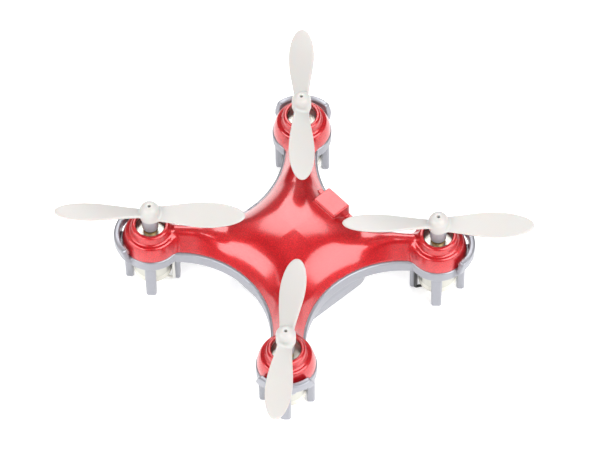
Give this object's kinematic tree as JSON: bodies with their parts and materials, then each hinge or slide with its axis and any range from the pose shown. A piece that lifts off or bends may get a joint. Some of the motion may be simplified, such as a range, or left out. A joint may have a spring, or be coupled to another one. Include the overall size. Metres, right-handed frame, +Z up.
{
  "type": "mini palm drone",
  "caption": "Palm-size quadcopter with a crowned two-shell body, motor pods on curved arms, bumper guards and two-blade propellers.",
  "frame": {"origin": "on the ground under the middle of the body, which stands on its leg posts", "axes": "+Z up along the motor axes, +Y to the front, -Y to the charging hood, motor axes on the XY diagonals"},
  "size_m": [0.054, 0.0545, 0.0184],
  "materials": {
    "red_shell": "metallic-flake red under gloss clear coat",
    "silver_shell": "satin silver-grey moulded plastic",
    "propeller_plastic": "translucent off-white moulded plastic",
    "motor_steel": "satin nickel-plated can",
    "motor_cap_plastic": "cream moulded plastic",
    "bearing_brass": "sintered bearing bronze",
    "magnet_nickel": "nickel-plated magnet",
    "copper_winding": "varnished copper wire",
    "shaft_steel": "ground steel",
    "lead_insulation": "black and white insulated wire",
    "board_green": "green solder mask",
    "chip_black": "moulded chip package",
    "crystal_can": "drawn metal can",
    "ceramic_parts": "ceramic chip parts with tinned ends",
    "led_blue": "clear lens, blue light",
    "led_red": "clear lens, red light",
    "socket_nylon": "white nylon",
    "pin_gold": "gold-plated contacts",
    "switch_metal": "stamped steel case",
    "switch_knob": "black moulded knob",
    "cell_foil": "aluminium laminate pouch",
    "cell_tape": "amber insulating tape",
    "foam_pad": "double-sided foam tape",
    "battery_wire": "red and black insulated wire",
    "screw_steel": "blackened steel"
  },
  "bodies": {
    "airframe": {"upper_shell": "red_shell", "lower_shell": "silver_shell", "case_screws": "screw_steel", "circuit_board": "board_green", "mcu_chip": "chip_black", "radio_chip": "chip_black", "gyro_chip": "chip_black", "crystal": "crystal_can", "board_passives": "ceramic_parts", "motor_drivers": "chip_black", "front_leds": "led_blue", "rear_leds": "led_red", "charge_socket": "socket_nylon", "charge_pins": "pin_gold", "power_switch_body": "switch_metal", "battery_cell": "cell_foil", "battery_tape": "cell_tape", "battery_pad": "foam_pad", "battery_leads": "battery_wire", "motor_can_front_right": "motor_steel", "motor_end_cap_front_right": "motor_cap_plastic", "motor_bushing_front_right": "bearing_brass", "motor_magnet_front_right": "magnet_nickel", "motor_leads_front_right": "lead_insulation", "motor_can_front_left": "motor_steel", "motor_end_cap_front_left": "motor_cap_plastic", "motor_bushing_front_left": "bearing_brass", "motor_magnet_front_left": "magnet_nickel", "motor_leads_front_left": "lead_insulation", "motor_can_rear_left": "motor_steel", "motor_end_cap_rear_left": "motor_cap_plastic", "motor_bushing_rear_left": "bearing_brass", "motor_magnet_rear_left": "magnet_nickel", "motor_leads_rear_left": "lead_insulation", "motor_can_rear_right": "motor_steel", "motor_end_cap_rear_right": "motor_cap_plastic", "motor_bushing_rear_right": "bearing_brass", "motor_magnet_rear_right": "magnet_nickel", "motor_leads_rear_right": "lead_insulation"},
    "rotor_front_right": {"propeller_front_right": "propeller_plastic", "motor_shaft_front_right": "shaft_steel", "motor_rotor_front_right": "copper_winding"},
    "rotor_front_left": {"propeller_front_left": "propeller_plastic", "motor_shaft_front_left": "shaft_steel", "motor_rotor_front_left": "copper_winding"},
    "rotor_rear_left": {"propeller_rear_left": "propeller_plastic", "motor_shaft_rear_left": "shaft_steel", "motor_rotor_rear_left": "copper_winding"},
    "rotor_rear_right": {"propeller_rear_right": "propeller_plastic", "motor_shaft_rear_right": "shaft_steel", "motor_rotor_rear_right": "copper_winding"},
    "switch_knob": {"power_switch_slider": "switch_knob"}
  },
  "joints": [
    {"name": "propeller_spin_front_right", "type": "hinge", "parent": "airframe", "child": "rotor_front_right", "pos_m": [0.01598, 0.01598, 0.01635], "axis": [0, 0, 1], "continuous": true},
    {"name": "propeller_spin_front_left", "type": "hinge", "parent": "airframe", "child": "rotor_front_left", "pos_m": [-0.01598, 0.01598, 0.01635], "axis": [0, 0, 1], "continuous": true},
    {"name": "propeller_spin_rear_left", "type": "hinge", "parent": "airframe", "child": "rotor_rear_left", "pos_m": [-0.01598, -0.01598, 0.01635], "axis": [0, 0, 1], "continuous": true},
    {"name": "propeller_spin_rear_right", "type": "hinge", "parent": "airframe", "child": "rotor_rear_right", "pos_m": [0.01598, -0.01598, 0.01635], "axis": [0, 0, 1], "continuous": true},
    {"name": "power_switch_slide", "type": "slide", "parent": "airframe", "child": "switch_knob", "axis": [0, 1, 0], "range_m": [0, 0.0015]}
  ]
}
